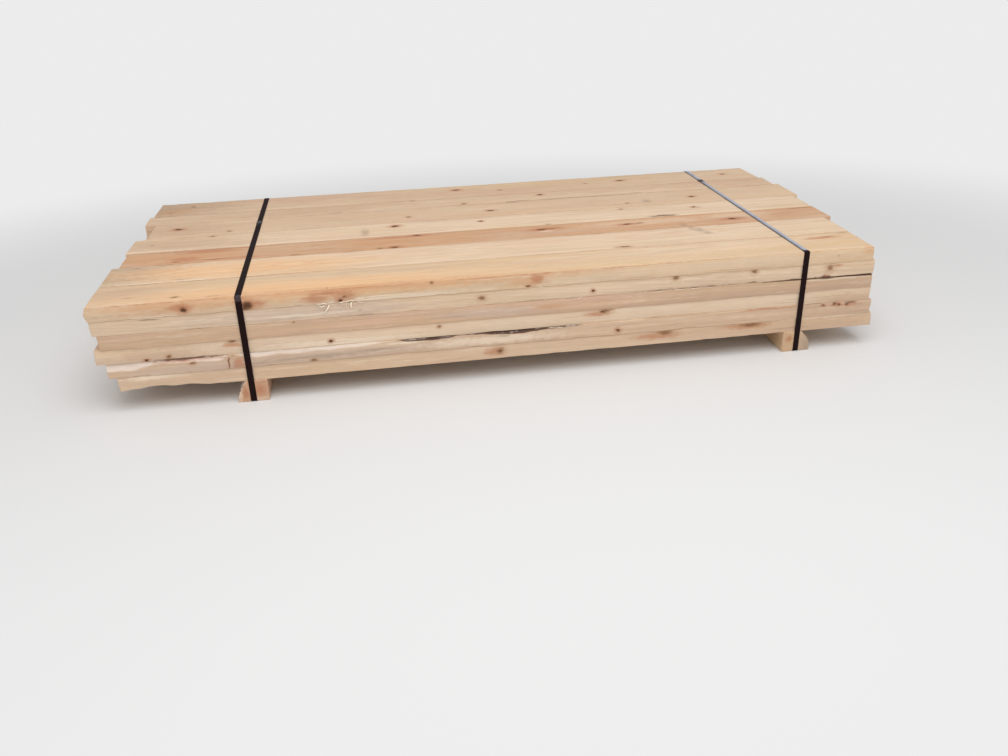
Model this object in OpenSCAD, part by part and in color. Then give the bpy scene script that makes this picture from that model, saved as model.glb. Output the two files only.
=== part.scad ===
// A strapped stack of rough-sawn boards on two bearers, as it stands on a level floor.
// +X runs along the boards, the front face looks to -Y, and the bearers stand on Z = 0.

/* [Stack] */
// Length that the boards were sawn to
board_length = 2438; // [1200:2:4900]
// Thickness of a board, which is the height of one course
board_thickness = 46; // [25:1:75]
// Width of the stack, from its front face to its back face
stack_width = 1144; // [800:2:1500]
// Gap between boards that lie side by side
board_gap = 2; // [0.5:0.5:6]
// Bevel along the sawn edges
edge_bevel = 2; // [0.5:0.5:4]
// How far the boards' ends stand out of line
end_scatter = 57; // [0:1:120]
// How far the courses' sides stand out of line
side_scatter = 5; // [0:0.5:12]

/* [Wane] */
// How deep the log's surface dips into the corner of the waniest board
wane_depth = 12; // [4:1:16]

/* [Bearers] */
// Width of a bearer
bearer_width = 94; // [70:1:150]
// Height of a bearer, which is the height of the fork space under the boards
bearer_height = 70; // [50:1:120]
// Radius of the small logs that the bearers were sawn from
bearer_log_radius = 90; // [80:1:160]
// Width of the round corner that is left on a bearer
bearer_wane_width = 32; // [10:1:40]
// Height of the left bearer's round corner
left_wane_height = 60; // [20:1:64]
// Height of the right bearer's round corner
right_wane_height = 42; // [20:1:64]
// From the stack's left end to the middle of the left bearer
left_bearer_inset = 439; // [250:1:550]
// From the stack's right end to the middle of the right bearer
right_bearer_inset = 283; // [200:1:550]

/* [Straps] */
// Width of a strap
strap_width = 19; // [13:1:32]
// Thickness of a strap
strap_thickness = 1; // [0.6:0.1:1.6]
// Length of the strap's end that lies over the strap
strap_lap = 92; // [60:1:140]
// Length of the strap's end that sticks out past its seal
strap_stub = 11; // [4:1:20]
// Room beside a strap in its seal and in the dent under a bearer
strap_room = 0.3; // [0.1:0.1:1]
// Length of a seal
seal_length = 34; // [20:1:44]
// Thickness of a seal's sheet
seal_sheet = 0.8; // [0.5:0.1:1.4]
// Radius of the crimped notches in a seal's sides
notch_radius = 3; // [1.5:0.5:4]
// How deep a notch goes into the side of a seal
notch_depth = 2; // [1:0.1:3]
// From the stack's back face to the middle of the left strap's seal
left_seal_inset = 359; // [120:1:600]
// From the stack's back face to the middle of the right strap's seal
right_seal_inset = 181; // [120:1:600]

/* [Hidden] */
$fn = 96;

// Widths of the boards in each course, from the front, as shares of the course; the lowest first
width_shares = [
    [0.17, 0.12, 0.16, 0.14, 0.13, 0.15, 0.13],
    [0.13, 0.18, 0.12, 0.15, 0.16, 0.11, 0.15],
    [0.15, 0.14, 0.17, 0.11, 0.16, 0.14, 0.13],
    [0.18, 0.12, 0.14, 0.16, 0.12, 0.15, 0.13],
    [0.14, 0.16, 0.13, 0.17, 0.13, 0.12, 0.15],
    [0.156, 0.156, 0.126, 0.14, 0.159, 0.103, 0.16],
];
// How far each board's left end lies inside the stack's left end, as shares of the end scatter
left_end_shares = [
    [0.91, 0.3, 0.55, 0.2, 0.7, 0.4, 0.1],
    [0.47, 0.8, 0.15, 0.6, 0.35, 0.9, 0.5],
    [0.04, 0.5, 0.75, 0.3, 0.95, 0.1, 0.6],
    [0.4, 0.2, 0.45, 0.85, 0.25, 0.65, 0.3],
    [0.16, 0.7, 0.1, 0.45, 0.6, 0.2, 0.8],
    [0, 0.14, 0.48, 0.33, 1, 0.3, 0.53],
];
// How far each board's right end lies past the shortest one's, as shares of the end scatter
right_end_shares = [
    [0.64, 0.1, 0.7, 0.3, 0.45, 0.8, 0.2],
    [0.46, 0.65, 0.2, 0.9, 0.4, 0.1, 0.55],
    [0.32, 0.4, 0.85, 0.25, 0.6, 0.35, 0.75],
    [0.27, 0.7, 0, 0.5, 0.8, 0.3, 0.15],
    [0.3, 0.45, 0.6, 0.15, 0.35, 0.7, 0.25],
    [0.13, 0.17, 0.68, 0.59, 1, 0.68, 0.4],
];
// How far each course's front and back face is set in, as shares of the side scatter
front_shares = [0.6, 0.2, 0.9, 0.3, 0.5, 0];
back_shares = [0.4, 1, 0.2, 0.7, 0.3, 0];

// Dips where the log's surface shows in a board's edge: course, board, front (-1) or back (1)
// edge, lower (-1) or upper (1) edge, then the share of the board's length at which the dip is
// deepest, the share that it runs either way from there, and its share of the wane depth
wane_shares = [
    [0, 0, -1, -1, 0.05, 0.05, 0.7],
    [1, 0, -1, 1, 0, 0.15, 1],
    [1, 0, -1, 1, 0.38, 0.06, 0.4],
    [1, 0, -1, 1, 0.49, 0.06, 0.5],
    [3, 0, -1, 1, 1, 0.17, 0.4],
    [2, 6, 1, 1, 0.2, 0.12, 0.9],
    [4, 6, 1, -1, 0.7, 0.15, 0.6],
];

courses = [0 : len(width_shares) - 1];
stack_length = board_length + end_scatter;
wood_top = bearer_height + len(width_shares) * board_thickness;
overrun = board_thickness;
left_bearer_x = left_bearer_inset - stack_length / 2;
right_bearer_x = stack_length / 2 - right_bearer_inset;
left_seal_y = stack_width / 2 - left_seal_inset;
right_seal_y = stack_width / 2 - right_seal_inset;

function board_name(course, place) = str("course_", course + 1, "_board_", place + 1);
function sum_before(list, count) = count == 0 ? 0 : list[count - 1] + sum_before(list, count - 1);

// Outline of a sawn piece with its four edges bevelled
module sawn_outline(width, height, bevel = edge_bevel) {
    polygon([
        [bevel, 0], [width - bevel, 0], [width, bevel], [width, height - bevel],
        [width - bevel, height], [bevel, height], [0, height - bevel], [0, bevel],
    ]);
}

// Round dip in a board's corner, as long as twice its reach and curved along the board
module wane_dip(size, back, upper, middle, reach, depth) {
    radius = (reach ^ 2 + depth ^ 2) / (2 * depth);
    translate([middle, back > 0 ? size.y : 0, upper > 0 ? size.z : 0])
        rotate([atan2(upper, back), 0, 0])
            intersection() {
                translate([-reach, -size.z / 2, -size.z / 2])
                    cube([2 * reach, size.z, size.z]);
                translate([0, radius - depth, 0])
                    cylinder(r = radius, h = size.z, center = true, $fn = 4 * $fn);
            }
}

// One board in its place in the stack
module board(course, place) {
    widths = width_shares[course];
    front = side_scatter * front_shares[course] - stack_width / 2;
    back = stack_width / 2 - side_scatter * back_shares[course];
    span = back - front + board_gap;
    left = end_scatter * left_end_shares[course][place] - stack_length / 2;
    right = stack_length / 2 - end_scatter * (1 - right_end_shares[course][place]);
    size = [right - left, span * widths[place] - board_gap, board_thickness];
    tones = ["burlywood", "wheat", "tan", "navajowhite"];
    color(tones[(course + 3 * place) % len(tones)])
        translate([left, front + span * sum_before(widths, place), bearer_height + course * board_thickness])
            difference() {
                rotate([90, 0, 90])
                    linear_extrude(size.x)
                        sawn_outline(size.y, size.z);
                for (wane = wane_shares)
                    if (wane[0] == course && wane[1] == place)
                        wane_dip(
                            size, wane[2], wane[3],
                            size.x * wane[4], board_length * wane[5], wane_depth * wane[6]
                        );
            }
}

// Section of the log that a bearer came from, through both ends of its round corner
module bearer_log(wane_height) {
    half_chord = norm([bearer_wane_width, wane_height]) / 2;
    depth = sqrt(bearer_log_radius ^ 2 - half_chord ^ 2);
    inward = [wane_height, -bearer_wane_width] / (2 * half_chord);
    middle = [bearer_wane_width, 2 * bearer_height - wane_height] / 2;
    translate(middle + depth * inward)
        circle(r = bearer_log_radius);
}

// A bearer under the boards, with one round corner and a dent where the strap passes below it
module bearer(middle_x, wane_height, mirrored) {
    end_bevel = edge_bevel + strap_thickness;
    dent_width = strap_width + 2 * strap_room;
    color("peru")
        translate([middle_x, 0, 0])
            difference() {
                intersection() {
                    mirror([mirrored, 0, 0])
                        translate([-bearer_width / 2, stack_width / 2, 0])
                            rotate([90, 0, 0])
                                linear_extrude(stack_width)
                                    intersection() {
                                        sawn_outline(bearer_width, bearer_height);
                                        bearer_log(wane_height);
                                    }
                    translate([-bearer_width / 2, -stack_width / 2, 0])
                        rotate([90, 0, 90])
                            linear_extrude(bearer_width)
                                sawn_outline(stack_width, bearer_height, end_bevel);
                }
                translate([-dent_width / 2, -stack_width / 2 - overrun, -overrun])
                    cube([dent_width, stack_width + 2 * overrun, overrun + strap_thickness]);
            }
}

// Rectangle with round corners from one point to another
module rounded_rectangle(low, high, radius) {
    size = high - low;
    translate([low.x + radius, low.y])
        square([size.x - 2 * radius, size.y]);
    translate([low.x, low.y + radius])
        square([size.x, size.y - 2 * radius]);
    for (x = [low.x + radius, high.x - radius], y = [low.y + radius, high.y - radius])
        translate([x, y])
            circle(r = radius);
}

// A strap round the boards and its bearer, with the end that laps over it under the seal
module strap(middle_x, seal_y) {
    reach = stack_width / 2;
    color("dimgray")
        translate([middle_x - strap_width / 2, 0, 0]) {
            rotate([90, 0, 90])
                linear_extrude(strap_width)
                    difference() {
                        rounded_rectangle(
                            [-reach - strap_thickness, 0],
                            [reach + strap_thickness, wood_top + strap_thickness],
                            edge_bevel + strap_thickness
                        );
                        rounded_rectangle([-reach, strap_thickness], [reach, wood_top], edge_bevel);
                    }
            translate([0, seal_y + seal_length / 2 + strap_stub - strap_lap, wood_top])
                cube([strap_width, strap_lap, 2 * strap_thickness]);
        }
}

// A seal folded over both layers of the strap, with crimped notches in its sides
module seal(middle_x, seal_y) {
    room = [strap_width + 2 * strap_room, seal_length, 2 * strap_thickness];
    outside = room + [2 * seal_sheet, 0, seal_sheet];
    color("slategray")
        translate([middle_x, seal_y, wood_top])
            difference() {
                translate([-outside.x / 2, -outside.y / 2, 0])
                    cube(outside);
                translate([-room.x / 2, -room.y / 2 - overrun, -overrun])
                    cube(room + [0, 2 * overrun, overrun]);
                for (side = [-1, 1], along = [-1, 1])
                    translate([
                        side * (outside.x / 2 + notch_radius - notch_depth),
                        along * seal_length / 4,
                        -overrun,
                    ])
                        cylinder(r = notch_radius, h = 2 * overrun);
            }
}

for (course = courses)
    for (place = [0 : len(width_shares[course]) - 1])
        board(course, place);
bearer(left_bearer_x, left_wane_height, 0);  // left_bearer
bearer(right_bearer_x, right_wane_height, 1);  // right_bearer
strap(left_bearer_x, left_seal_y);  // left_strap
strap(right_bearer_x, right_seal_y);  // right_strap
seal(left_bearer_x, left_seal_y);  // left_seal
seal(right_bearer_x, right_seal_y);  // right_seal
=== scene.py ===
import math
import random

import bmesh
import bpy
from mathutils import Matrix, Vector, noise


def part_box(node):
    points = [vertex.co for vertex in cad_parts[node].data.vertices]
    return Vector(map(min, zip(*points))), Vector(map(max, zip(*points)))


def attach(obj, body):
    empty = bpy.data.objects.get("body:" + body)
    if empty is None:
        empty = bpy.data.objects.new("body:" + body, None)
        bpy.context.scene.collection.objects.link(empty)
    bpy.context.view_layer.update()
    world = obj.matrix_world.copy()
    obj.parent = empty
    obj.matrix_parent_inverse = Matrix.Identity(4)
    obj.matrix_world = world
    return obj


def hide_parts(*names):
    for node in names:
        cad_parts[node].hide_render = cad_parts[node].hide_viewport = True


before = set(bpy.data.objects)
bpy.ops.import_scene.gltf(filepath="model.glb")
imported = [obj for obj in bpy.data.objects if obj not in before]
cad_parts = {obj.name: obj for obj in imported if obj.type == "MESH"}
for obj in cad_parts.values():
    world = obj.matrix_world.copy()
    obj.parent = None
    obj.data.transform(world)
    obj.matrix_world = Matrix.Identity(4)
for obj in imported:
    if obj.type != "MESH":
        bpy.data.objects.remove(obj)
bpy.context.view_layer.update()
print("frame loaded:", len(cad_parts), "solids")


# A socket of a material, with sums and products written as Python

class Wire:
    def __init__(self, tree, socket):
        self.tree = tree
        self.socket = socket

    def node(self, kind, settings=None, inputs=None, output=0):
        made = self.tree.nodes.new(kind)
        for name, value in (settings or {}).items():
            setattr(made, name, value)
        for name, value in (inputs or {}).items():
            if isinstance(value, Wire):
                self.tree.links.new(value.socket, made.inputs[name])
            else:
                made.inputs[name].default_value = value
        return Wire(self.tree, made.outputs[output])

    def maths(self, operation, *others):
        inputs = dict(enumerate((self, *others)))
        return self.node("ShaderNodeMath", {"operation": operation}, inputs)

    def __add__(self, other):
        return self.maths("ADD", other)

    __radd__ = __add__

    def __sub__(self, other):
        return self.maths("SUBTRACT", other)

    def __rsub__(self, other):
        return self.maths("MULTIPLY", -1).maths("ADD", other)

    def __mul__(self, other):
        return self.maths("MULTIPLY", other)

    __rmul__ = __mul__

    def __truediv__(self, other):
        return self.maths("DIVIDE", other)

    def moved(self, offset):
        return self.node("ShaderNodeVectorMath", {"operation": "ADD"}, {0: self, 1: offset})

    def stretched(self, scale):
        return self.node("ShaderNodeVectorMath", {"operation": "MULTIPLY"}, {0: self, 1: scale})

    def length(self):
        return self.node("ShaderNodeVectorMath", {"operation": "LENGTH"}, {0: self}, "Value")

    def axis(self, name):
        return self.node("ShaderNodeSeparateXYZ", {}, {0: self}, name)

    def cloud(self, scale, detail=2, roughness=0.5):
        wanted = {"Vector": self.stretched(scale), "Scale": 1, "Detail": detail, "Roughness": roughness}
        return self.node("ShaderNodeTexNoise", {}, wanted)

    def clouds(self, scale, detail=2, roughness=0.5):
        # Three patterns from one noise
        wanted = {"Vector": self.stretched(scale), "Scale": 1, "Detail": detail, "Roughness": roughness}
        colour = self.node("ShaderNodeTexNoise", {}, wanted, "Color")
        return [colour.axis(name) for name in "XYZ"]

    def between(self, low, high, start=0, end=1):
        wanted = {"Value": self, "From Min": low, "From Max": high, "To Min": start, "To Max": end}
        return self.node("ShaderNodeMapRange", {"interpolation_type": "SMOOTHSTEP"}, wanted)

    def blend(self, first, second):
        settings = {"data_type": "RGBA", "clamp_factor": True}
        return self.node("ShaderNodeMix", settings, {0: self, 6: first, 7: second}, 2)

    def shade(self, colour):
        settings = {"data_type": "RGBA", "blend_type": "MULTIPLY", "clamp_factor": True}
        grey = self.node("ShaderNodeCombineColor", {}, {0: self, 1: self, 2: self})
        return self.node("ShaderNodeMix", settings, {0: 1.0, 6: colour, 7: grey}, 2)


def newMaterial(name):
    material = bpy.data.materials.new(name)
    material.use_nodes = True
    tree = material.node_tree
    surface = tree.nodes["Principled BSDF"]
    place = Wire(tree, tree.nodes.new("ShaderNodeTexCoord").outputs["Object"])
    return material, surface, place


def connect(surface, **wires):
    for name, wire in wires.items():
        surface.id_data.links.new(wire.socket, surface.inputs[name.replace("_", " ")])


def fromScreen(red, green, blue):
    def linear(value):
        value /= 255
        return value / 12.92 if value <= 0.04045 else ((value + 0.055) / 1.055) ** 2.4
    return (linear(red), linear(green), linear(blue), 1)


def addPiece(name, bm, material, smooth=True):
    bmesh.ops.recalc_face_normals(bm, faces=bm.faces[:])
    mesh = bpy.data.meshes.new(name)
    bm.to_mesh(mesh)
    bm.free()
    for face in mesh.polygons:
        face.use_smooth = smooth
    mesh.materials.append(material)
    piece = bpy.data.objects.new(name, mesh)
    bpy.context.scene.collection.objects.link(piece)
    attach(piece, "root")
    return piece


def cutAcross(bm, axis, places):
    for place in places:
        at = Vector((0, 0, 0))
        at[axis] = place
        facing = Vector((0, 0, 0))
        facing[axis] = 1
        bmesh.ops.bisect_plane(bm, geom=bm.verts[:] + bm.edges[:] + bm.faces[:], plane_co=at, plane_no=facing)


def softBlock(low, high, arris):
    # A sawn block with its edges just broken
    bm = bmesh.new()
    bmesh.ops.create_cube(bm, size=1)
    bmesh.ops.scale(bm, vec=high - low, verts=bm.verts)
    bmesh.ops.translate(bm, vec=(low + high) / 2, verts=bm.verts)
    bmesh.ops.bevel(
        bm, geom=bm.edges[:], offset=arris, offset_type="OFFSET", affect="EDGES",
        segments=2, profile=0.5, material=-1,
    )
    return bm


# Camera at the photograph's viewpoint, metres and degrees
viewpoint = {"place": (-0.4046, -3.1418, 1.2672), "turn": -8.40, "tilt": 26.01, "roll": -1.63, "lens": 32.11}


def addCamera(look):
    turn, tilt, roll = (math.radians(look[name]) for name in ("turn", "tilt", "roll"))
    camera = bpy.data.objects.new("camera", bpy.data.cameras.new("camera"))
    camera.data.lens = look["lens"]
    camera.data.sensor_width = 36
    turned = Matrix.Rotation(turn, 4, "Z") @ Matrix.Rotation(math.pi / 2 - tilt, 4, "X")
    camera.matrix_world = Matrix.Translation(look["place"]) @ turned @ Matrix.Rotation(roll, 4, "Z")
    bpy.context.scene.collection.objects.link(camera)
    bpy.context.scene.camera = camera


addCamera(viewpoint)
print("camera placed")


# Wood as it comes off the saw. Colours are written as they look on a screen.
woodTones = {
    "pale": fromScreen(234, 211, 184),
    "cream": fromScreen(226, 199, 169),
    "straw": fromScreen(222, 187, 141),
    "rosy": fromScreen(221, 183, 158),
    "tan": fromScreen(205, 174, 147),
    # Painted sunlight, orange, for the left part of the top boards
    "paintedSun": fromScreen(240, 192, 144),
    "amber": fromScreen(214, 164, 122),
    "heart": fromScreen(190, 128, 88),
    "knot": fromScreen(142, 96, 64),
    "deadKnot": fromScreen(84, 50, 30),
    "redKnot": fromScreen(192, 130, 96),
    "knotHalo": fromScreen(196, 156, 120),
    "ash": fromScreen(208, 186, 171),
    "endGrain": fromScreen(210, 170, 130),
    "pitch": fromScreen(150, 108, 76),
    "bark": fromScreen(96, 72, 58),
    "bareWane": fromScreen(233, 214, 198),
    "grime": fromScreen(158, 138, 116),
    "fibre": fromScreen(252, 236, 212),
}
woodGrain = {
    "ringSpacing": 0.0042,
    "wander": 0.020,
    "sawPitch": 0.0085,
    "rosy": 0.35,
    "straw": 0.35,
    "relief": 0.0011,
}


def nearest(place, marks):
    # Distance to the nearest of some marks, each with its own radii, where 1 is its rim
    best = None
    for at, radii in marks:
        reach = place.moved([-value for value in at]).stretched([1 / value for value in radii]).length()
        best = reach if best is None else best.maths("MINIMUM", reach)
    return best


def woodMaterial(name, look, seed, along="X"):
    # look: light and dark tone, share of the dark one, pith (y, z), grime, and marks by kind
    dice = random.Random(seed)
    material, surface, place = newMaterial(name)
    normal = place.node("ShaderNodeNewGeometry", {}, {}, "True Normal")
    cutEnd = normal.axis(along).maths("ABSOLUTE").between(0.75, 0.92)
    sideways = normal.axis("Y").maths("ABSOLUTE")
    if along == "Y":
        parts = {0: place.axis("Y"), 1: place.axis("X"), 2: place.axis("Z")}
        place = place.node("ShaderNodeCombineXYZ", {}, parts)
    shifted = place.moved([dice.uniform(-9, 9) for _ in range(3)])
    rosy, straw, dirt = shifted.clouds((1.1, 8, 13), 4, 0.6)
    streak, ripple, tear = shifted.clouds((2.6, 75, 75), 4, 0.62)
    fibre, fuzz, speck = shifted.clouds((28, 420, 420), 2, 0.6)
    ragged = shifted.cloud((55, 120, 120), 3) - 0.5
    bend = shifted.node("ShaderNodeTexNoise", {}, {"Vector": shifted.stretched((22, 60, 60)), "Scale": 1}, "Color")
    bent = place.node("ShaderNodeVectorMath", {"operation": "ADD"}, {0: place, 1: bend.stretched((0.018, 0.009, 0.009))})
    bent = bent.moved((-0.009, -0.0045, -0.0045))

    # Growth rings round a leaning pith, pushed aside by knots
    kinds = ("dead", "live", "streaks", "stains", "smudges", "tints", "paintedSun", "light", "soft", "dull", "ashen")
    marks = {kind: nearest(bent, look[kind]) + ragged * 1.1 for kind in kinds if look.get(kind)}
    lean = [dice.uniform(-0.03, 0.03) for _ in range(2)]
    wander, twist, patchiness = shifted.clouds((1.2, 4, 4), 2)
    across = place.axis("Y") - look["pith"][0] - place.axis("X") * lean[0] + (wander - 0.5) * woodGrain["wander"]
    upward = place.axis("Z") - look["pith"][1] - place.axis("X") * lean[1] + (twist - 0.5) * woodGrain["wander"]
    radius = (across * across + upward * upward).maths("SQRT")
    for kind in ("dead", "live"):
        if kind in marks:
            radius = radius + marks[kind].between(0.2, 3.2, 1, 0) * 0.012
    phase = radius / woodGrain["ringSpacing"] + ripple * 0.9 + patchiness * 2.0
    turn = phase.maths("FRACT")
    ring = turn.between(0.25, 0.9) * turn.between(0.9, 1.0, 1, 0)

    # Tones drift along the board, with finer streaks and torn fibres in them
    share = (rosy * 0.5 + streak * 0.5).between(0.36, 0.64, 0, look["dark"] * 1.6)
    colour = share.blend(woodTones[look["tones"][0]], woodTones[look["tones"][1]])
    colour = rosy.between(0.50, 0.68, 0, woodGrain["rosy"]).blend(colour, woodTones["rosy"])
    colour = straw.between(0.50, 0.68, 0, woodGrain["straw"]).blend(colour, woodTones["straw"])
    colour = (cutEnd * (0.25 + dirt * 0.4)).blend(colour, woodTones["endGrain"])
    # Patches in other tones: the warm ones are painted sunlight on the left part of the top boards, and the light ones
    # paint near-white, as painted highlights along upper arrises and as pale torn fibre elsewhere
    glows = [("soft", "pale", 0.55), ("dull", "tan", 0.65), ("ashen", "ash", 0.65)]
    glows += [("paintedSun", "paintedSun", 0.75), ("light", "fibre", 0.60), ("tints", "amber", 0.70)]
    for kind, tone, most in glows:
        if kind in marks:
            glow = (marks[kind] + (streak - 0.5) * 1.2).between(0.3, 1.3, most, 0)
            colour = glow.blend(colour, woodTones[tone])
    ringTone = ring * (0.22 + cutEnd * 0.6) * (0.5 + wander)
    colour = ringTone.blend(colour, woodTones[look.get("rings", "amber")])
    colour = (0.85 + streak * 0.30).shade(colour)
    colour = (0.92 + fibre * 0.16).shade(colour)
    mottle = shifted.cloud((15, 42, 42), 3, 0.6)
    colour = (0.93 + mottle * 0.14).shade(colour)
    # Painted shade: faces turned towards the front or back are tinted a little greyer
    ash = sideways.between(0.6, 0.9, 0, 0.12) + (mottle - 0.5) * 0.2
    colour = ash.between(0, 1).blend(colour, woodTones["ash"])
    line = shifted.cloud((3.0, 150, 150), 3, 0.6).between(0.60, 0.70, 0, 0.28) * (1 - cutEnd)
    colour = line.blend(colour, woodTones["pitch"])
    torn = tear.between(0.54, 0.66) * fuzz.between(0.40, 0.62) * (1 - cutEnd)
    colour = (torn * 0.34).blend(colour, woodTones["fibre"])

    # Cut ends have fine checks running out from the pith
    rays = {0: upward.maths("ARCTAN2", across) * 26, 1: radius * 22, 2: look["pith"][0] * 40}
    rays = place.node("ShaderNodeCombineXYZ", {}, rays)
    split = rays.cloud((1, 1, 1), 3, 0.7).between(0.63, 0.67) * cutEnd
    colour = (split * 0.4).blend(colour, woodTones["knot"])
    colour = dirt.between(0.55, 0.75, 0, look["grime"]).blend(colour, woodTones["grime"])

    # Where the log's own surface shows: smooth and pale, or bark
    if look.get("waney"):
        wane = place.node("ShaderNodeAttribute", {"attribute_name": "wane"}, {}, "Fac")
        rind = place.node("ShaderNodeAttribute", {"attribute_name": "bark"}, {}, "Fac")
        flakes = shifted.cloud((22, 150, 150), 4, 0.65)
        crust = (rind + (flakes - 0.5) * 1.4).between(0.42, 0.62)
        bare = (0.78 + ripple * 0.24 + streak * 0.18).shade(woodTones["bareWane"])
        under = crust.blend(bare, woodTones["bark"])
        colour = (wane + (streak - 0.5) * 0.9).between(0.3, 0.8).blend(colour, under)

    # Marks: stains first, then knots with a halo along the grain and a dark rim
    if "stains" in marks:
        stain = (marks["stains"] + (streak - 0.5) * 1.1).between(0.2, 1.3, 0.75, 0)
        colour = stain.blend(colour, woodTones["redKnot"])
    if "live" in marks:
        live = marks["live"]
        colour = live.between(0.5, 2.4, 0.60, 0).blend(colour, woodTones["knotHalo"])
        colour = live.between(0.2, 1.2, 0.80, 0).blend(colour, woodTones["knot"])
        eye = (live * 2.3).maths("FRACT").between(0.2, 0.9) * live.between(0.5, 1.0, 0.25, 0)
        colour = eye.blend(colour, woodTones["deadKnot"])
    if "dead" in marks:
        dead = marks["dead"]
        colour = dead.between(0.6, 2.8, 0.60, 0).blend(colour, woodTones["redKnot"])
        colour = dead.between(0.5, 1.3, 0.75, 0).blend(colour, woodTones["knot"])
        colour = (dead + (fuzz - 0.5) * 0.5).between(0.3, 0.95, 0.92, 0).blend(colour, woodTones["deadKnot"])
    if "streaks" in marks:
        colour = marks["streaks"].between(0.3, 1.25, 0.72, 0).blend(colour, woodTones["deadKnot"])
    if "smudges" in marks:
        smudge = (marks["smudges"] + (dirt - 0.5) * 1.5).between(0.1, 1.2, 0.50, 0)
        colour = smudge.blend(colour, woodTones["grime"])

    # Saw marks run across the board and show in patches
    across = place.node("ShaderNodeCombineXYZ", {}, {0: place.axis("X") + place.axis("Y") * 0.12, 1: place.axis("Y")})
    saw = across.moved((look["pith"][0] * 30, 0, 0)).cloud((1 / woodGrain["sawPitch"], 3, 1), 2, 0.6)
    patch = twist.between(0.36, 0.60) * (1 - cutEnd)
    height = fibre * 0.45 + streak * 0.5 + fuzz * 0.25 - saw * patch * 0.35 - ring * 0.12 - split * 0.5
    if "dead" in marks:
        height = height - marks["dead"].between(0.8, 1.1, 0.6, 0)
    bump = {"Height": height, "Distance": woodGrain["relief"], "Strength": 0.8}
    connect(surface, Base_Color=colour, Roughness=0.72 + speck * 0.2, Normal=place.node("ShaderNodeBump", {}, bump))
    surface.inputs["Specular IOR Level"].default_value = 0.35
    return material


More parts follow.
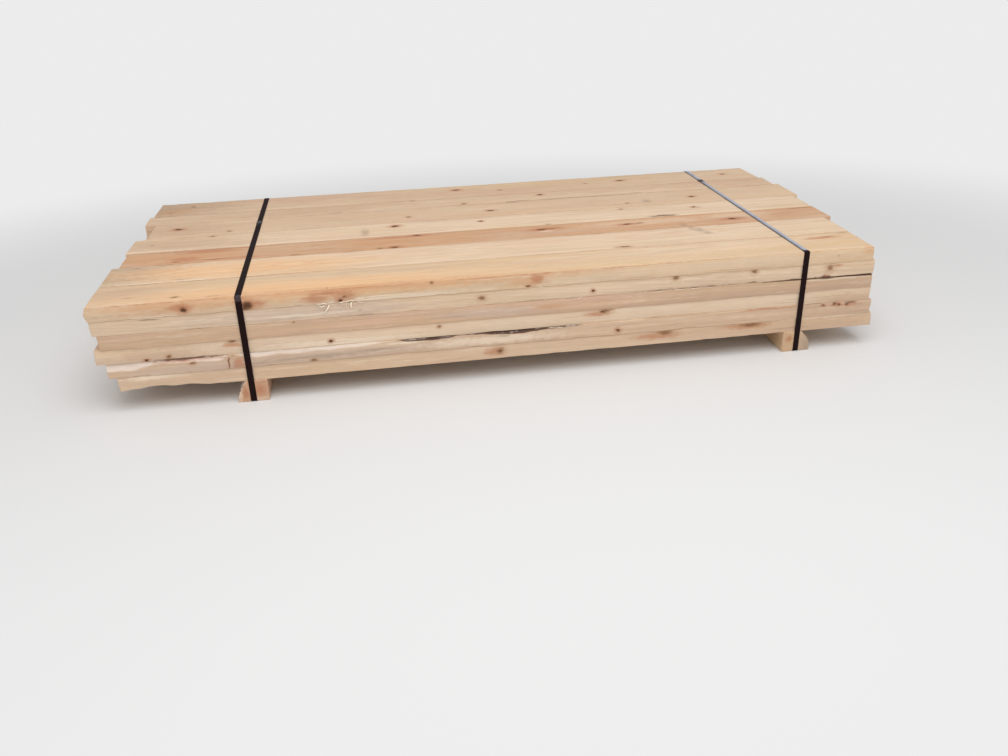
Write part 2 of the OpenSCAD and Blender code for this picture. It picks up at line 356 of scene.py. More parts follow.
# Boards. Marks are (x, distance in from the board's front or up from its underside, half length,
# half width, and depth where it isn't 30) in millimetres, from the stack's middle.
boardLooks = {
    "course_6_board_1": {
        "tones": ("cream", "straw"), "dark": 0.45, "tip": 0.008,
        "top": {
            "live": [(-993, 38, 10, 5)],
            "smudges": [(-1130, 60, 24, 8)],
            "streaks": [(-549, 14, 2, 9), (1106, 141, 34, 3), (1165, 164, 26, 3), (-880, 24, 26, 2)],
            "stains": [(1080, 130, 70, 14)],
            # Painted sunlight on the left part of the board
            "paintedSun": [(-620, 36, 620, 80)],
            "soft": [(640, 120, 520, 70)],
            "dull": [(-1180, 110, 190, 90)],
        },
        "front": {
            "dead": [(-967, 17, 9, 7), (-788, 14, 14, 13), (62, 6, 8, 3), (-515, 7, 6, 4)],
            "live": [(-502, 18, 7, 5), (-236, 42, 5, 4, 6)],
            "stains": [
                (-752, 18, 30, 14), (-585, 18, 46, 15, 12), (-500, 24, 44, 22, 12), (-545, 32, 90, 12, 12),
                (86, 27, 26, 16, 8), (-975, 26, 50, 10, 8), (-980, 45, 270, 2.5, 4), (-460, 45, 240, 3, 4),
                (60, 45, 300, 2, 3), (520, 45, 330, 2, 3), (1010, 45, 180, 2, 3),
            ],
            "tints": [(-420, 40, 780, 20), (-1010, 30, 250, 24, 9), (1180, 36, 26, 16), (56, 26, 66, 22, 12)],
            "light": [(-300, 4, 300, 10), (-1060, 2, 90, 4), (-75, 5, 50, 3)],
            "soft": [(620, 20, 560, 26, 20)],
            "smudges": [(1075, 26, 9, 5)],
        },
    },
    "course_6_board_2": {
        "tones": ("cream", "pale"), "dark": 0.50,
        "top": {
            "live": [(419, 12, 18, 6)],
            "streaks": [(-1157, 160, 12, 4), (395, 16, 24, 2), (-1000, 20, 60, 2)],
            "smudges": [(702, 168, 18, 34), (718, 134, 22, 36), (736, 100, 20, 22), (-1420, 80, 420, 400)],
            "light": [(-1120, 5, 70, 6), (-960, 4, 60, 6)],
            "soft": [(780, 70, 160, 50), (-640, 140, 120, 40)],
            # Painted sunlight on the left part of the board
            "paintedSun": [(-860, 80, 520, 90)],
            "dull": [(-1120, 120, 160, 60)],
        },
    },
    "course_6_board_3": {
        "tones": ("amber", "tan"), "dark": 0.62, "rings": "heart",
        "top": {
            "dead": [(-245, 132, 14, 7), (-330, 10, 14, 7), (189, 90, 17, 7), (497, 80, 12, 6), (879, 58, 14, 7)],
            "live": [(-380, 12, 12, 6), (540, 84, 16, 5)],
            "smudges": [(686, 22, 16, 34), (905, 62, 16, 10)],
            "tints": [(-1000, 60, 240, 80)],
            "streaks": [(-659, 6, 22, 3), (-1045, 22, 12, 3), (-926, 26, 40, 3), (230, 96, 40, 3), (1170, 130, 60, 3)],
            "stains": [
                (-960, 118, 110, 24), (-900, 134, 320, 8), (-1020, 42, 64, 30), (-860, 22, 160, 10), (200, 90, 90, 20), (497, 80, 60, 16), (880, 60, 80, 26),
                (-300, 120, 160, 14),
            ],
            "light": [(200, 66, 30, 8)],
            "soft": [(560, 90, 260, 40), (900, 90, 140, 50)],
        },
    },
    "course_6_board_4": {
        "tones": ("cream", "pale"), "dark": 0.55,
        "top": {
            "dead": [(-316, 115, 13, 9), (-4, 104, 7, 6), (800, 96, 8, 6)],
            "live": [(-959, 148, 9, 6), (530, 133, 7, 5)],
            "streaks": [(655, 11, 60, 12), (224, 4, 20, 3), (823, 87, 14, 3), (-1156, 86, 8, 4)],
            "smudges": [(-424, 60, 18, 50), (-1156, 86, 22, 8)],
            "dull": [(-1040, 70, 320, 80)],
        },
    },
    "course_6_board_5": {
        "tones": ("cream", "tan"), "dark": 0.40,
        "top": {
            "dead": [(-1097, 105, 15, 9), (48, 76, 12, 7), (846, 78, 10, 7)],
            "live": [(-909, 41, 8, 6), (-262, 64, 9, 6), (576, 49, 7, 5)],
            "streaks": [(-1191, 20, 10, 4), (153, 172, 30, 3)],
            "smudges": [(657, 60, 22, 34)],
            "dull": [(-1090, 90, 260, 90)],
        },
    },
    "course_6_board_6": {
        "tones": ("cream", "tan"), "dark": 0.50,
        "top": {
            "dead": [(-37, 14, 7, 5), (277, 74, 9, 7)],
            "live": [(-232, 108, 7, 5)],
            # The streaks and smudges along the front edge paint the shadow in the gap to the board in front
            "streaks": [(175, 5, 55, 4), (-528, 8, 30, 3), (648, 6, 30, 4)],
            "smudges": [(380, 3, 340, 7), (-60, 3, 90, 5)],
            "dull": [(-640, 60, 420, 80)],
        },
    },
    "course_6_board_7": {
        "tones": ("cream", "tan"), "dark": 0.55,
        "top": {
            "dead": [(-43, 118, 15, 8), (646, 99, 14, 7), (1093, 96, 9, 6)],
            "live": [(-1090, 120, 9, 7), (133, 72, 9, 6), (493, 87, 9, 5)],
            "tints": [(-1150, 60, 90, 50)],
            "stains": [(-1165, 46, 22, 12)],
            "smudges": [(-1400, 90, 440, 400)],
            "dull": [(-1110, 90, 290, 110)],
        },
    },
    "course_5_board_4": {"tones": ("amber", "tan"), "dark": 0.55, "rings": "heart"},
    "course_3_board_2": {"tones": ("amber", "rosy"), "dark": 0.50, "rings": "heart"},
    "course_5_board_1": {
        "tones": ("cream", "pale"), "dark": 0.40,
        "front": {
            "dead": [(264, 18, 5, 4)],
            "live": [(-86, 24, 10, 7), (532, 38, 9, 6), (794, 38, 9, 6), (1053, 30, 11, 9)],
            "stains": [(1080, 36, 20, 5), (1040, 4, 18, 8)],
            # The thin streaks and smudges at heights of 0 to 3 mm paint the shadow in the joint to the course below
            "streaks": [
                (-1063, 40, 40, 2), (1030, 3, 12, 6), (1048, 1, 14, 4), (1008, 0, 8, 4), (930, 1, 30, 2), (484, 1, 26, 2),
                (543, 1, 22, 2), (598, 1, 20, 2), (651, 1, 24, 2), (790, 2, 24, 2),
            ],
            "smudges": [(-458, 17, 9, 6), (-480, 2, 90, 3), (100, 2, 130, 3), (600, 3, 220, 4)],
            "light": [(-640, 16, 200, 5)],
            "ashen": [(-640, 22, 380, 24)],
        },
    },
    "course_4_board_1": {
        "tones": ("tan", "rosy"), "dark": 0.45, "waney": 1,
        "front": {
            "live": [(-657, 41, 4, 2)],
            "tints": [(120, 24, 60, 7)],
            "ashen": [(-60, 20, 180, 18)],
            "dull": [(1120, 20, 150, 30)],
            # At the right end the streaks along the upper edge paint the shadow in the gap over the wane, and the
            # light mark under them is a painted highlight on the upper arris
            "streaks": [(1044, 43, 26, 4), (1150, 45, 70, 2)],
            "light": [(1080, 38, 120, 3)],
        },
    },
    "course_3_board_1": {
        "tones": ("pale", "cream"), "dark": 0.40,
        "front": {
            "dead": [(-555, 15, 5, 4), (-1100, 5, 6, 3)],
            "live": [(-845, 42, 10, 5), (-1035, 10, 7, 5), (-223, 33, 6, 5), (302, 36, 16, 7)],
            "stains": [(-850, 30, 30, 8), (276, 30, 44, 10), (320, 40, 20, 3)],
            # The streak along the lower edge at the left paints, in brown, the shadow over the wane of the course
            # below
            "streaks": [(-985, 1, 130, 2), (296, 36, 7, 3), (312, 39, 8, 2)],
            "light": [(-500, 10, 260, 10)],
            "dull": [(1130, 14, 130, 20), (-1080, 20, 160, 24)],
        },
    },
    "course_2_board_1": {
        "tones": ("tan", "cream"), "dark": 0.50, "waney": 1,
        "front": {
            "dead": [(347, 15, 6, 5)],
            "live": [(-613, 4, 8, 4), (-970, 28, 8, 4)],
            # The streak and stain at the top of the left wane paint the shadow under the course above, tinted
            # red-brown
            "streaks": [
                (-866, 20, 2.5, 24), (-985, 45, 124, 5), (1046, 41, 8, 4), (1084, 41, 10, 6), (1102, 38, 8, 5),
                (1142, 43, 26, 5), (1128, 38, 8, 6),
            ],
            "stains": [
                (-834, 18, 24, 22), (1096, 38, 34, 9), (850, 44, 110, 3), (-866, 20, 5, 26), (-985, 41, 130, 7), (1140, 38, 38, 8), (1046, 38, 14, 7),
            ],
            "smudges": [(-620, 16, 220, 9), (-20, 30, 30, 7), (-420, 22, 120, 7)],
            "light": [(-60, 20, 260, 16), (-340, 36, 80, 6)],
            "ashen": [(-900, 14, 330, 22), (-540, 16, 340, 24)],
            "dull": [(1090, 18, 200, 28)],
        },
    },
    "course_1_board_1": {
        "tones": ("cream", "tan"), "dark": 0.45, "waney": 1,
        "front": {
            # The light mark along the upper edge at the right is a painted highlight on the upper arris
            "light": [(1060, 44, 170, 4), (-1100, 40, 110, 10)],
            "dull": [(1020, 22, 280, 26)],
            "live": [(-35, 26, 12, 9), (509, 38, 26, 7), (800, 38, 34, 6)],
            "streaks": [(-34, 26, 5, 4)],
            "stains": [(480, 26, 90, 14), (790, 34, 90, 12), (-54, 25, 34, 14)],
        },
    },
}
boardShape = {
    "arris": 0.0005,
    "alongStep": 0.010,
    "acrossStep": 0.022,
    "innerStep": 0.25,
    "crook": 0.0016,
    "proud": 0.0002,
    "topUneven": 0.0016,
    "edgeWear": 0.0013,
    "endSkew": 0.003,
}
# Wane: board, (back, upper) corner, depth for its height, share of bark, and heights along x in metres
waneBands = [
    ("course_1_board_1", (-1, -1), 2.0, 0.2, [
        (-1.20, 0), (-1.15, 0.005), (-1.10, 0.010), (-1.07, 0.011), (-1.03, 0.006), (-0.99, 0.008), (-0.92, 0),
    ]),
    ("course_2_board_1", (-1, 1), 0.45, 0.0, [
        (-1.30, 0.026), (-1.14, 0.024), (-1.10, 0.019), (-1.085, 0.009), (-1.02, 0.013), (-0.93, 0.016),
        (-0.88, 0.015), (-0.866, 0.001), (-0.845, 0.001), (-0.80, 0.013), (-0.62, 0.012), (-0.48, 0.009), (-0.36, 0),
    ]),
    ("course_2_board_1", (-1, 1), 1.2, 0.7, [
        (-0.36, 0), (-0.32, 0.007), (-0.25, 0.010), (-0.20, 0.007), (-0.165, 0.002), (-0.09, 0.004), (-0.05, 0.010),
        (0.02, 0.013), (0.08, 0.010), (0.125, 0.004), (0.16, 0.004), (0.20, 0.003), (0.24, 0),
    ]),
    ("course_4_board_1", (-1, 1), 1.2, 1.0, [
        (0.76, 0), (0.85, 0.002), (0.98, 0.0035), (1.05, 0.003), (1.15, 0.006), (1.30, 0.0075),
    ]),
    ("course_3_board_7", (1, 1), 0.8, 0.6, [(-1.02, 0), (-0.86, 0.010), (-0.72, 0.015), (-0.56, 0.009), (-0.43, 0)]),
    ("course_5_board_7", (1, -1), 0.8, 0.5, [(0.10, 0), (0.30, 0.007), (0.46, 0.010), (0.66, 0.008), (0.82, 0)]),
]


def marksFor(look, low, high):
    # Marks in metres: knots on the top run down into the board, those on the front run back
    marks = {}
    for face, kinds in (("top", look.get("top", {})), ("front", look.get("front", {}))):
        for kind, places in kinds.items():
            for x, inside, reach, width, *deep in places:
                deep = (deep or [30])[0]
                grown = 1250 if kind in ("dead", "live") else 1000
                if face == "top":
                    at = (x / 1000, low.y + inside / 1000, high.z)
                    radii = (reach * grown / 1e6, width * grown / 1e6, deep / 1000)
                else:
                    at = (x / 1000, low.y, low.z + inside / 1000)
                    radii = (reach * grown / 1e6, deep / 1000, width * grown / 1e6)
                marks.setdefault(kind, []).append((at, radii))
    return marks


def chanceMarks(low, high, dice, front):
    # Knots for a board that the photograph doesn't show
    marks = {"dead": [], "live": []}
    for kind in ["dead"] * dice.randint(1, 3) + ["live"] * dice.randint(2, 4):
        size = dice.uniform(0.005, 0.012)
        spot = [dice.uniform(low[axis], high[axis]) for axis in range(3)]
        radii = (size * 1.4, size, 0.03)
        if front:
            spot[1] = dice.choice([low.y, high.y])
            radii = (size * 1.4, 0.03, size)
        marks[kind].append((tuple(spot), radii))
    return marks


def heightAt(profile, x):
    if not profile[0][0] < x < profile[-1][0]:
        return 0
    for (left, before), (right, after) in zip(profile, profile[1:]):
        if x <= right:
            share = (x - left) / (right - left)
            return before + (after - before) * share * share * (3 - 2 * share)
    return 0


def sawBoard(low, high, bands, dice, look):
    shape = boardShape
    fine = look["fine"]
    bm = softBlock(low, high, shape["arris"])
    for axis in (1, 2):
        steps = max(2, round((high[axis] - low[axis]) / (shape["acrossStep"] if fine else 0.06)))
        cutAcross(bm, axis, [low[axis] + (high[axis] - low[axis]) * step / steps for step in range(1, steps)])
    if bands:
        deepest = max(height for band in bands for _, height in band[4])
        for axis, side in ((1, bands[0][1][0]), (2, bands[0][1][1])):
            edge = high[axis] if side > 0 else low[axis]
            cutAcross(bm, axis, [edge - side * deepest * share / 8 for share in range(1, 10)])
    span = high.x - low.x
    long = [edge for edge in bm.edges if abs(edge.verts[0].co.x - edge.verts[1].co.x) > span / 2]
    steps = round(span / (shape["alongStep"] if fine else shape["innerStep"]))
    bmesh.ops.subdivide_edges(bm, edges=long, cuts=steps, use_grid_fill=True)

    wane = bm.verts.layers.float.new("wane")
    bark = bm.verts.layers.float.new("bark")
    middle = (low + high) / 2
    half = (high - low) / 2
    skew = [dice.uniform(-1, 1) * shape["endSkew"] for _ in range(4)]
    shift = Vector([dice.uniform(-50, 50) for _ in range(3)])
    for vert in bm.verts:
        at = vert.co.copy()
        away = Vector((at.x - middle.x, (at.y - middle.y) / half.y, (at.z - middle.z) / half.z))
        # Ends are cut a little out of square
        if half.x - abs(away.x) < 0.004:
            right = away.x > 0
            lean = skew[0] * away.y + skew[1] * away.z if right else skew[2] * away.y + skew[3] * away.z
            rough = noise.noise(at * 60 + shift) * 0.001
            vert.co.x -= (1 if right else -1) * (abs(lean) + abs(rough))
            if not right:
                vert.co.x += look.get("tip", 0) * abs(away.z) ** 1.5
        # The board isn't quite straight or even in its thickness
        slowY = noise.noise(Vector((at.x * 1.3, math.copysign(9, away.y), 0)) + shift)
        slowZ = noise.noise(Vector((at.x * 1.6, at.y * 5, math.copysign(9, away.z))) + shift)
        vert.co.y -= away.y * shape["crook"] * (0.55 + 0.45 * slowY)
        vert.co.z -= away.z * (shape["topUneven"] if look["onTop"] and away.z > 0 else shape["proud"]) * (0.5 + 0.5 * slowZ)
        # Torn and rubbed arrises
        if abs(away.y) > 1 - 0.0025 / half.y and abs(away.z) > 1 - 0.0025 / half.z:
            place = Vector((at.x * 11, math.copysign(3, away.y), math.copysign(3, away.z))) + shift
            wear = noise.noise(place) + 0.5 * noise.noise(place * 3.7)
            wear = shape["edgeWear"] * max(0, wear - 0.12) * 1.6
            vert.co.y -= math.copysign(wear * 0.7, away.y)
            vert.co.z -= math.copysign(wear, away.z)
        for _, corner, deep, rind, profile in bands:
            height = heightAt(profile, at.x)
            if height <= 0:
                continue
            grain = noise.noise(Vector((at.x * 24, 0, 7)) + shift) + 0.5 * noise.noise(at * 90 + shift)
            wanted = deep * height * (1 + 0.22 * grain) / math.hypot(1, deep)
            inY = abs((high.y if corner[0] > 0 else low.y) - at.y)
            inZ = abs((high.z if corner[1] > 0 else low.z) - at.z)
            lacking = wanted - (inY + inZ * deep) / math.hypot(1, deep)
            shown = min(1, max(0, 0.5 + lacking / 0.005))
            if shown > vert[wane]:
                vert[wane] = shown
                vert[bark] = rind
            if lacking > 0:
                vert.co.y -= corner[0] * lacking / math.hypot(1, deep)
                vert.co.z -= corner[1] * lacking * deep / math.hypot(1, deep)
    return bm


def addBoards():
    names = sorted(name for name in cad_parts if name.startswith("course_"))
    faces = 0
    for place, name in enumerate(names):
        low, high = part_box(name)
        dice = random.Random(place * 7 + 3)
        _, course, _, board = name.split("_")
        outer = course in "16" or board in "17"
        look = {"tones": dice.choice([("pale", "cream"), ("cream", "tan"), ("cream", "straw"), ("tan", "rosy")])}
        look["dark"] = dice.uniform(0.35, 0.55)
        if name in boardLooks:
            look = {**look, **boardLooks[name], **marksFor(boardLooks[name], low, high)}
        elif outer:
            look = {**look, **chanceMarks(low, high, dice, board in "17")}
        look["pith"] = (
            (low.y + high.y) / 2 + dice.uniform(-0.07, 0.07),
            (low.z + high.z) / 2 + dice.choice([-1, 1]) * dice.uniform(0.05, 0.16),
        )
        look["grime"] = dice.uniform(0.05, 0.25)
        bands = [band for band in waneBands if band[0] == name]
        if bands:
            look["waney"] = 1
        title = f"course{course}Board{board}"
        look["fine"] = outer
        look["onTop"] = course == "6"
        bm = sawBoard(low, high, bands, dice, look)
        piece = addPiece(title, bm, woodMaterial(title, look, place))
        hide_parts(name)
        "heartwood" if look["tones"][0] == "amber" else "sapwood"
        faces += len(piece.data.polygons)
    print("boards:", len(names), "with", faces, "faces")


addBoards()


# Slivers torn up by the saw, in metres: on the front (x, z) from and to, how far they curl aside
# and their width; then ranges for the fuzz along an edge
splinterShape = {
    "torn": [
        ((-0.586, 0.301), (-0.566, 0.298), 0.002, 0.0036), ((-0.582, 0.299), (-0.556, 0.293), -0.003, 0.0030),
        ((-0.574, 0.301), (-0.550, 0.297), 0.003, 0.0040), ((-0.547, 0.298), (-0.569, 0.268), 0.003, 0.0062),
        ((-0.556, 0.299), (-0.574, 0.282), -0.004, 0.0028), ((-0.580, 0.292), (-0.562, 0.286), 0.003, 0.0026),
        ((-0.552, 0.300), (-0.536, 0.303), 0.002, 0.0026), ((-0.512, 0.301), (-0.514, 0.284), 0.001, 0.0016),
        ((-0.504, 0.302), (-0.504, 0.283), 0.000, 0.0016), ((-0.497, 0.303), (-0.498, 0.281), 0.000, 0.0018),
        ((-0.520, 0.300), (-0.492, 0.303), 0.001, 0.0036), ((-0.498, 0.302), (-0.474, 0.305), 0.001, 0.0044),
        ((-0.482, 0.300), (-0.481, 0.276), -0.002, 0.0072), ((-0.482, 0.296), (-0.466, 0.305), 0.004, 0.0036),
        ((-0.474, 0.303), (-0.450, 0.310), 0.002, 0.0034), ((-0.456, 0.307), (-0.424, 0.312), 0.002, 0.0028),
        ((-0.450, 0.301), (-0.410, 0.304), 0.002, 0.0022), ((-0.436, 0.311), (-0.396, 0.312), 0.001, 0.0026),
        ((-0.410, 0.311), (-0.366, 0.313), 0.001, 0.0022), ((-0.464, 0.300), (-0.446, 0.296), -0.001, 0.0022),
        ((0.120, 0.1600), (0.152, 0.1610), 0.001, 0.0016), ((0.150, 0.1606), (0.172, 0.1600), -0.001, 0.0020),
        ((0.176, 0.1612), (0.196, 0.1602), 0.001, 0.0024), ((0.195, 0.1600), (0.212, 0.1618), 0.001, 0.0020),
        ((0.475, 0.2530), (0.500, 0.2534), 0.000, 0.0016), ((0.530, 0.2528), (0.566, 0.2534), 0.000, 0.0018),
        ((0.585, 0.2528), (0.622, 0.2532), 0.000, 0.0020), ((0.636, 0.2530), (0.660, 0.2526), 0.000, 0.0014),
    ],
    "front": -0.5706,
    "lift": 0.0013,
    "thick": 0.0005,
    "fuzz": [(-0.05, 0.72, -0.5690, 0.2545, 8), (0.10, 0.62, -0.5706, 0.3003, 6), (-0.95, -0.30, -0.5702, 0.1622, 12)],
    "tops": [
        ((1.222, 0.280), (1.2405, 0.268), 0.0060), ((1.224, 0.276), (1.236, 0.262), 0.0030),
        ((-1.17, -0.3945), (-1.12, -0.3942), 0.0022), ((-1.13, -0.3938), (-1.05, -0.3946), 0.0026),
        ((-1.02, -0.3946), (-0.97, -0.3938), 0.0024), ((-0.99, -0.3940), (-0.91, -0.3945), 0.0028),
    ],
}


def addSliver(bm, start, end, across, bulge, thick):
    old = len(bm.verts)
    bmesh.ops.create_cube(bm, size=1)
    bm.verts.ensure_lookup_table()
    long = {edge for vert in bm.verts[old:] for edge in vert.link_edges if edge.calc_length() > 0.5}
    long = [edge for edge in long if abs(edge.verts[0].co.x - edge.verts[1].co.x) > 0.5]
    bmesh.ops.subdivide_edges(bm, edges=long, cuts=7)
    bm.verts.ensure_lookup_table()
    for vert in bm.verts[old:]:
        share = vert.co.x + 0.5
        slim = max(0.2, 1 - 0.8 * (2 * share - 0.8) ** 2)
        offset = across * (vert.co.z * slim) + bulge * math.sin(share * math.pi) + thick * vert.co.y
        vert.co = start.lerp(end, share) + offset


def addSplinters(shape):
    dice = random.Random(5)
    bm = bmesh.new()
    thick = Vector((0, shape["thick"], 0))
    for (startX, startZ), (endX, endZ), curl, width in shape["torn"]:
        start = Vector((startX, shape["front"], startZ))
        end = Vector((endX, shape["front"], endZ))
        side = Vector((startZ - endZ, 0, endX - startX)).normalized()
        addSliver(bm, start, end, side * width, side * curl - Vector((0, shape["lift"], 0)), thick)
    for first, last, face, level, count in shape["fuzz"]:
        for _ in range(count):
            start = Vector((dice.uniform(first, last), face, level + dice.uniform(-0.001, 0.0014)))
            end = start + Vector((dice.uniform(-0.024, 0.024), 0, dice.uniform(-0.0045, 0.0005)))
            bulge = Vector((0, -0.0007, dice.uniform(-0.0015, 0.0015)))
            addSliver(bm, start, end, Vector((0, 0, dice.uniform(0.0006, 0.0018))), bulge, thick)
    for (startX, startY), (endX, endY), width in shape["tops"]:
        start = Vector((startX, startY, 0.3452))
        end = Vector((endX, endY, 0.3452))
        side = Vector((startY - endY, endX - startX, 0)).normalized()
        addSliver(bm, start, end, side * width, Vector((0, 0, 0.0008)), Vector((0, 0, shape["thick"])))
    look = {"tones": ("fibre", "fibre"), "dark": 0.1, "pith": (0, 0.1), "grime": 0}
    look["light"] = [((0, 0, 0.28), (9, 9, 9))]
    piece = addPiece("splinters", bm, woodMaterial("splinters", look, 77))


addSplinters(splinterShape)
print("splinters made")


# Bearers sawn from small logs, with one round corner
bearerShape = {
    "left_bearer": {
        "wane": (0.032, 0.060), "side": -1, "pith": (-0.826, 0.026), "seed": 31, "tones": ("rosy", "tan"), "rings": "heart",
        "stains": [((-0.572, -0.829, 0.030), (0.05, 0.010, 0.020)), ((-0.572, -0.785, 0.038), (0.05, 0.016, 0.024))],
        "light": [((-0.572, -0.848, 0.030), (0.05, 0.007, 0.06)), ((-0.572, -0.790, 0.006), (0.05, 0.04, 0.01))],
    },
    "right_bearer": {
        "wane": (0.032, 0.042), "side": 1, "pith": (0.940, 0.012), "seed": 32, "tones": ("straw", "tan"), "rings": "tan",
        "stains": [((-0.572, 0.938, 0.046), (0.05, 0.014, 0.012))],
        "smudges": [((-0.572, 1.006, 0.024), (0.03, 0.034, 0.060))],
        "ashen": [((-0.572, 1.006, 0.030), (0.03, 0.040, 0.070))],
    },
}
bearerLog = 0.090


def addBearer(name, shape):
    low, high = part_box(name)
    middle = (low + high) / 2
    side = shape["side"]
    width, height = shape["wane"]
    chord = math.hypot(width, height)
    depth = math.sqrt(bearerLog ** 2 - (chord / 2) ** 2)
    edge = low.x if side < 0 else high.x
    centre = Vector((
        edge - side * (width / 2 + depth * height / chord), 0, high.z - height / 2 - depth * width / chord,
    ))
    bm = softBlock(low, high, 0.0018)
    dent = 0.0099
    cutAcross(bm, 0, [middle.x + value for value in (-dent - 0.002, -dent, dent, dent + 0.002)])
    cutAcross(bm, 0, [low.x + (high.x - low.x) * step / 16 for step in range(1, 16)])
    cutAcross(bm, 2, [low.z + (high.z - low.z) * step / 14 for step in range(1, 14)])
    long = [item for item in bm.edges if abs(item.verts[0].co.y - item.verts[1].co.y) > 0.5]
    bmesh.ops.subdivide_edges(bm, edges=long, cuts=90, use_grid_fill=True)
    wane = bm.verts.layers.float.new("wane")
    bark = bm.verts.layers.float.new("bark")
    for vert in bm.verts:
        at = vert.co.copy()
        if at.z < 0.0005 and abs(at.x - middle.x) < dent + 0.0002:
            vert.co.z = 0.0012
        spoke = Vector((at.x - centre.x, 0, at.z - centre.z))
        uneven = noise.noise(Vector((at.x * 20, at.y * 7, at.z * 20 + shape["seed"])))
        allowed = bearerLog - 0.002 * (0.5 + uneven)
        if spoke.length > allowed and side * spoke.x > 0 and spoke.z > 0:
            vert.co.x = centre.x + spoke.x * allowed / spoke.length
            vert.co.z = centre.z + spoke.z * allowed / spoke.length
            vert[wane] = 1
            vert[bark] = 0.34
    look = {**shape, "dark": 0.6, "grime": 0.35, "waney": 1}
    title = name.split("_")[0] + "Bearer"
    piece = addPiece(title, bm, woodMaterial(title, look, shape["seed"], "Y"))
    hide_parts(name)


for bearer in bearerShape:
    addBearer(bearer, bearerShape[bearer])
print("bearers made")


# Steel straps with a black finish. The right one has a painted reflection of bright sky on its top run.
strapShape = {
    "width": 0.019,
    "thick": 0.0009,
    "inside": ((-0.572, 0.0010), (0.572, 0.3460)),
    "bend": 0.0022,
    "lap": (0.064, 0.028),
    "sealAt": {"left_strap": 0.213, "right_strap": 0.391},
}
crimpShape = {"apart": 0.017, "radius": 0.003, "deep": 0.0020}
steelFinish = {
    "left_strap": {
        "colour": fromScreen(31, 16, 15), "wearAndSheen": fromScreen(84, 76, 74), "specks": 0.12,
        # Painted highlight: the grey glint at the front bend
        "roughness": 0.50, "metallic": 0.0, "gloss": 0.08, "bendGlint": fromScreen(74, 62, 64),
    },
    "right_strap": {
        # Its wear colour is also the colour of the painted reflection of bright sky on the top run
        "colour": fromScreen(31, 16, 15), "wearAndSheen": fromScreen(192, 192, 202), "specks": 0.08,
        "roughness": 0.46, "metallic": 0.0, "gloss": 0.08, "sheenFrom": (0.3455, 0.9645),
    },
    "seal": {
        "colour": fromScreen(74, 72, 76), "wearAndSheen": fromScreen(150, 148, 150), "specks": 0.5,
        "roughness": 0.38, "metallic": 0.8, "gloss": 0.5,
    },
}


def steelMaterial(name, look):
    # look: colour, colour of the specks and of the painted reflection, the height above which the painted reflection
    # shows and the strap's middle, roughness
    material, surface, place = newMaterial(name)
    scratch, patchiness, speck = place.clouds((34, 12, 12), 4, 0.7)
    grit = place.cloud((300, 300, 300), 3, 0.6)
    colour = grit.between(0.60, 0.72, 0, look["specks"]).blend(look["colour"], look["wearAndSheen"])
    metallic = grit * 0 + look["metallic"]
    if look.get("sheenFrom"):
        # Painted reflection of bright sky on the top run, brightest along one edge with painted shade along the other,
        # and still black round its bends
        height, middle = look["sheenFrom"]
        run = place.axis("Z").between(height - 0.001, height) * place.axis("Y").between(-0.560, -0.550)
        paintedSheen = run * (patchiness * 0.6 + scratch * 0.4).between(0.36, 0.50, 0.78, 1)
        wearAndSheen = (place.axis("X") + (scratch - 0.5) * 0.004 - middle).between(-0.0085, 0.002, 0.36, 1.20)
        colour = paintedSheen.blend(colour, wearAndSheen.shade(look["wearAndSheen"]))
        colour = (0.86 + scratch * 0.28).shade(colour)
        metallic = paintedSheen * 0.75 + look["metallic"]
    if look.get("bendGlint"):
        # A painted highlight: a grey glint where the strap bends down over the front edge
        bent = place.axis("Y").between(-0.566, -0.562, 1, 0) * place.axis("Z").between(0.327, 0.334)
        colour = bent.blend(colour, look["bendGlint"])
    bump = {"Height": grit * 0.5 + scratch, "Distance": 0.0002, "Strength": 0.4}
    connect(
        surface, Base_Color=colour, Roughness=look["roughness"] + speck * 0.22, Metallic=metallic,
        Normal=place.node("ShaderNodeBump", {}, bump),
    )
    surface.inputs["Specular IOR Level"].default_value = look["gloss"]
    return material


def alongStrap(reach, shape):
    # Place and outward direction on the loop, from the front upper bend and on to the back
    (front, under), (back, top) = shape["inside"]
    bend = shape["bend"]
    runs = [back - front - 2 * bend, top - under - 2 * bend] * 2
    corner = bend * math.pi / 2
    centres = [
        (back - bend, top - bend), (back - bend, under + bend),
        (front + bend, under + bend), (front + bend, top - bend),
    ]
    ways = [(1, 0), (0, -1), (-1, 0), (0, 1)]
    reach = reach % (sum(runs) + 4 * corner)
    for run, centre, way in zip(runs, centres, ways):
        outward = (-way[1], way[0])
        if reach <= run:
            left = run - reach
            place = (centre[0] + outward[0] * bend - way[0] * left, centre[1] + outward[1] * bend - way[1] * left)
            return place, outward
        reach -= run
        if reach <= corner:
            turn = reach / bend
            turned = (
                outward[0] * math.cos(turn) + way[0] * math.sin(turn),
                outward[1] * math.cos(turn) + way[1] * math.sin(turn),
            )
            return (centre[0] + turned[0] * bend, centre[1] + turned[1] * bend), turned
        reach -= corner
    return alongStrap(0, shape)


def pinched(distance):
    # How far a crimp is pressed in at a distance from its middle, from 0 to 1
    return math.sqrt(max(0, 1 - (distance / crimpShape["radius"]) ** 2))


def strapStations(start, end, bends, step):
    # Close together where the strap bends or steps up, and far apart on its runs
    stations = [start]
    while stations[-1] < end:
        near = min(abs(stations[-1] - bend) for bend in bends)
        stations.append(stations[-1] + min(step, max(0.0005, near * 0.25)))
    stations[-1] = end
    return stations


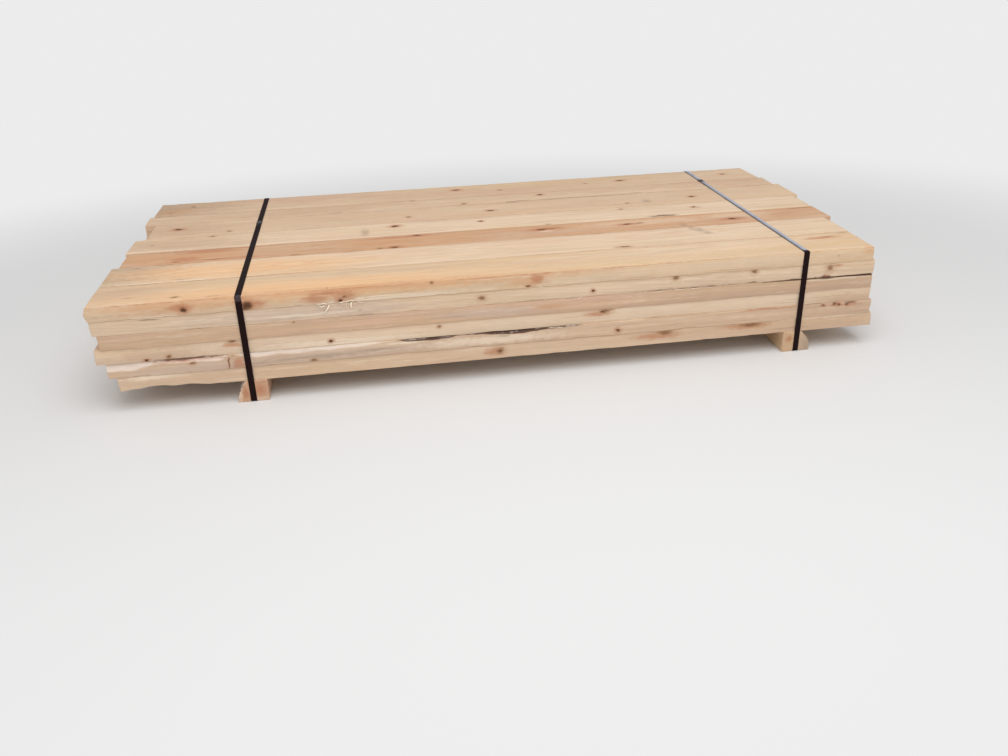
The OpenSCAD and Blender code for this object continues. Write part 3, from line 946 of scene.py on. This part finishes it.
def addStrap(name):
    shape = strapShape
    low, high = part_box(name)
    middle = (low.x + high.x) / 2
    (front, under), (back, top) = shape["inside"]
    corner = shape["bend"] * math.pi / 2
    wide = back - front - 2 * shape["bend"]
    tall = top - under - 2 * shape["bend"]
    around = 2 * (wide + tall) + 4 * corner
    bends = []
    for begin in (wide, wide + corner + tall, 2 * wide + 2 * corner + tall, 2 * wide + 3 * corner + 2 * tall):
        bends += [begin, begin + corner]
    start = shape["sealAt"][name] - front - shape["bend"] - shape["lap"][0]
    end = start + around + sum(shape["lap"])
    climb = start + around - 0.008
    seal = shape["sealAt"][name] - front - shape["bend"]
    crimps = [seal + turn + side * crimpShape["apart"] / 2 for turn in (0, around) for side in (-1, 1)]
    stations = strapStations(start, end, bends + [climb, climb + 0.008] + crimps, 0.014)

    bm = bmesh.new()
    bmesh.ops.create_cube(bm, size=1)
    long = [edge for edge in bm.edges if abs(edge.verts[0].co.y - edge.verts[1].co.y) > 0.5]
    bmesh.ops.scale(bm, vec=(shape["width"], 1, shape["thick"]), verts=bm.verts)
    bmesh.ops.bevel(
        bm, geom=long, offset=0.00035, offset_type="OFFSET", affect="EDGES", segments=2, profile=0.5, material=-1,
    )
    cutAcross(bm, 0, [-0.005, 0, 0.005])
    long = [edge for edge in bm.edges if abs(edge.verts[0].co.y - edge.verts[1].co.y) > 0.5]
    bmesh.ops.subdivide_edges(bm, edges=long, cuts=len(stations) - 2, use_grid_fill=True)
    for vert in bm.verts:
        reach = stations[round((vert.co.y + 0.5) * (len(stations) - 1))]
        (y, z), outward = alongStrap(reach, shape)
        lift = shape["thick"] / 2 + vert.co.z
        risen = min(1, max(0, (reach - climb) / 0.008))
        lift += 0.00092 * risen * risen * (3 - 2 * risen)
        sway = 0.0006 * noise.noise(Vector((reach * 2.3, middle, 0)))
        vert.co.x *= 1 - max(pinched(reach - crimp) for crimp in crimps) * crimpShape["deep"] / (shape["width"] / 2)
        vert.co = Vector((middle + vert.co.x + sway, y + outward[0] * lift, z + outward[1] * lift))
    title = name.replace("_strap", "Strap")
    piece = addPiece(title, bm, steelMaterial(title, steelFinish[name]))
    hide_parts(name)


for strap in strapShape["sealAt"]:
    addStrap(strap)


def addSeal(name):
    # A sheet folded over the strap, its sides crimped in at two places and its ends flared
    low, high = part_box(name)
    middle = (low + high) / 2
    sheet = 0.0008
    wide = high.x - low.x - sheet
    tall = high.z - low.z - sheet
    bm = bmesh.new()
    bmesh.ops.create_grid(bm, x_segments=40, y_segments=56, size=0.5)
    for vert in bm.verts:
        reach = vert.co.x * (wide + 2 * tall - 0.0008)
        along = vert.co.y * (high.y - low.y)
        side = 1 if reach > 0 else -1
        out = min(abs(reach), wide / 2)
        down = max(0, abs(reach) - wide / 2)
        near = max(pinched(along - half * crimpShape["apart"] / 2) for half in (-1, 1))
        share = max(0, (abs(reach) / (wide / 2 + tall) - 0.45) / 0.55)
        flare = max(0, abs(vert.co.y) - 0.44) / 0.06
        x = side * (out - near * share * crimpShape["deep"])
        z = high.z - sheet / 2 - down - near * share * 0.0003 - flare * flare * 0.0002
        if down == 0 and abs(reach) > wide / 2 - 0.0009:
            z -= ((abs(reach) - wide / 2 + 0.0009) / 0.0009) ** 2 * 0.0003
        vert.co = Vector((middle.x + x, middle.y + along, max(low.z, z)))
    bmesh.ops.solidify(bm, geom=bm.faces[:], thickness=sheet)
    for vert in bm.verts:
        vert.co.x = min(high.x, max(low.x, vert.co.x))
        vert.co.z = min(high.z, max(low.z, vert.co.z))
    title = name.replace("_seal", "Seal")
    piece = addPiece(title, bm, steelMaterial(title, steelFinish["seal"]))
    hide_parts(name)


for seal in ("left_seal", "right_seal"):
    addSeal(seal)
print("straps made")


# Plain pale floor and soft light
studio = {
    "floor": 0.80, "sky": 0.52, "backdrop": 0.84, "fade": (1.3, 2.9),
    "keyPower": 160, "keySize": 4.5, "keyPlace": (0.1, -2.4, 4.5),
}


def addStudio(look):
    bm = bmesh.new()
    bmesh.ops.create_circle(bm, cap_ends=True, segments=96, radius=60)
    mesh = bpy.data.meshes.new("floor")
    bm.to_mesh(mesh)
    bm.free()
    floor = bpy.data.objects.new("floor", mesh)
    material, surface, place = newMaterial("floor")
    surface.inputs["Base Color"].default_value = (look["floor"],) * 3 + (1,)
    surface.inputs["Roughness"].default_value = 0.9
    tree = material.node_tree
    seen = place.node("ShaderNodeLightPath", {}, {}, "Is Camera Ray")
    far = place.stretched((0.72, 1, 1)).length().between(look["fade"][0], look["fade"][1]) * seen
    glow = place.node("ShaderNodeEmission", {}, {"Color": (look["backdrop"],) * 3 + (1,), "Strength": 1.0})
    mixed = far.node("ShaderNodeMixShader", {}, {0: far, 1: Wire(tree, surface.outputs[0]), 2: glow})
    tree.links.new(mixed.socket, tree.nodes["Material Output"].inputs["Surface"])
    mesh.materials.append(material)
    bpy.context.scene.collection.objects.link(floor)

    world = bpy.data.worlds.new("sky")
    world.use_nodes = True
    tree = world.node_tree
    background = tree.nodes["Background"]
    background.inputs["Color"].default_value = (1, 1, 1, 1)
    rays = Wire(tree, tree.nodes.new("ShaderNodeLightPath").outputs["Is Camera Ray"])
    strength = rays * (look["backdrop"] - look["sky"]) + look["sky"]
    tree.links.new(strength.socket, background.inputs["Strength"])
    bpy.context.scene.world = world
    key = bpy.data.objects.new("key", bpy.data.lights.new("key", "AREA"))
    key.data.energy = look["keyPower"]
    key.data.size = look["keySize"]
    key.location = look["keyPlace"]
    key.rotation_euler = (Vector((0, 0, 0.2)) - key.location).to_track_quat("-Z", "Y").to_euler()
    bpy.context.scene.collection.objects.link(key)
    bpy.context.scene.view_settings.view_transform = "Standard"


addStudio(studio)
print("studio set")
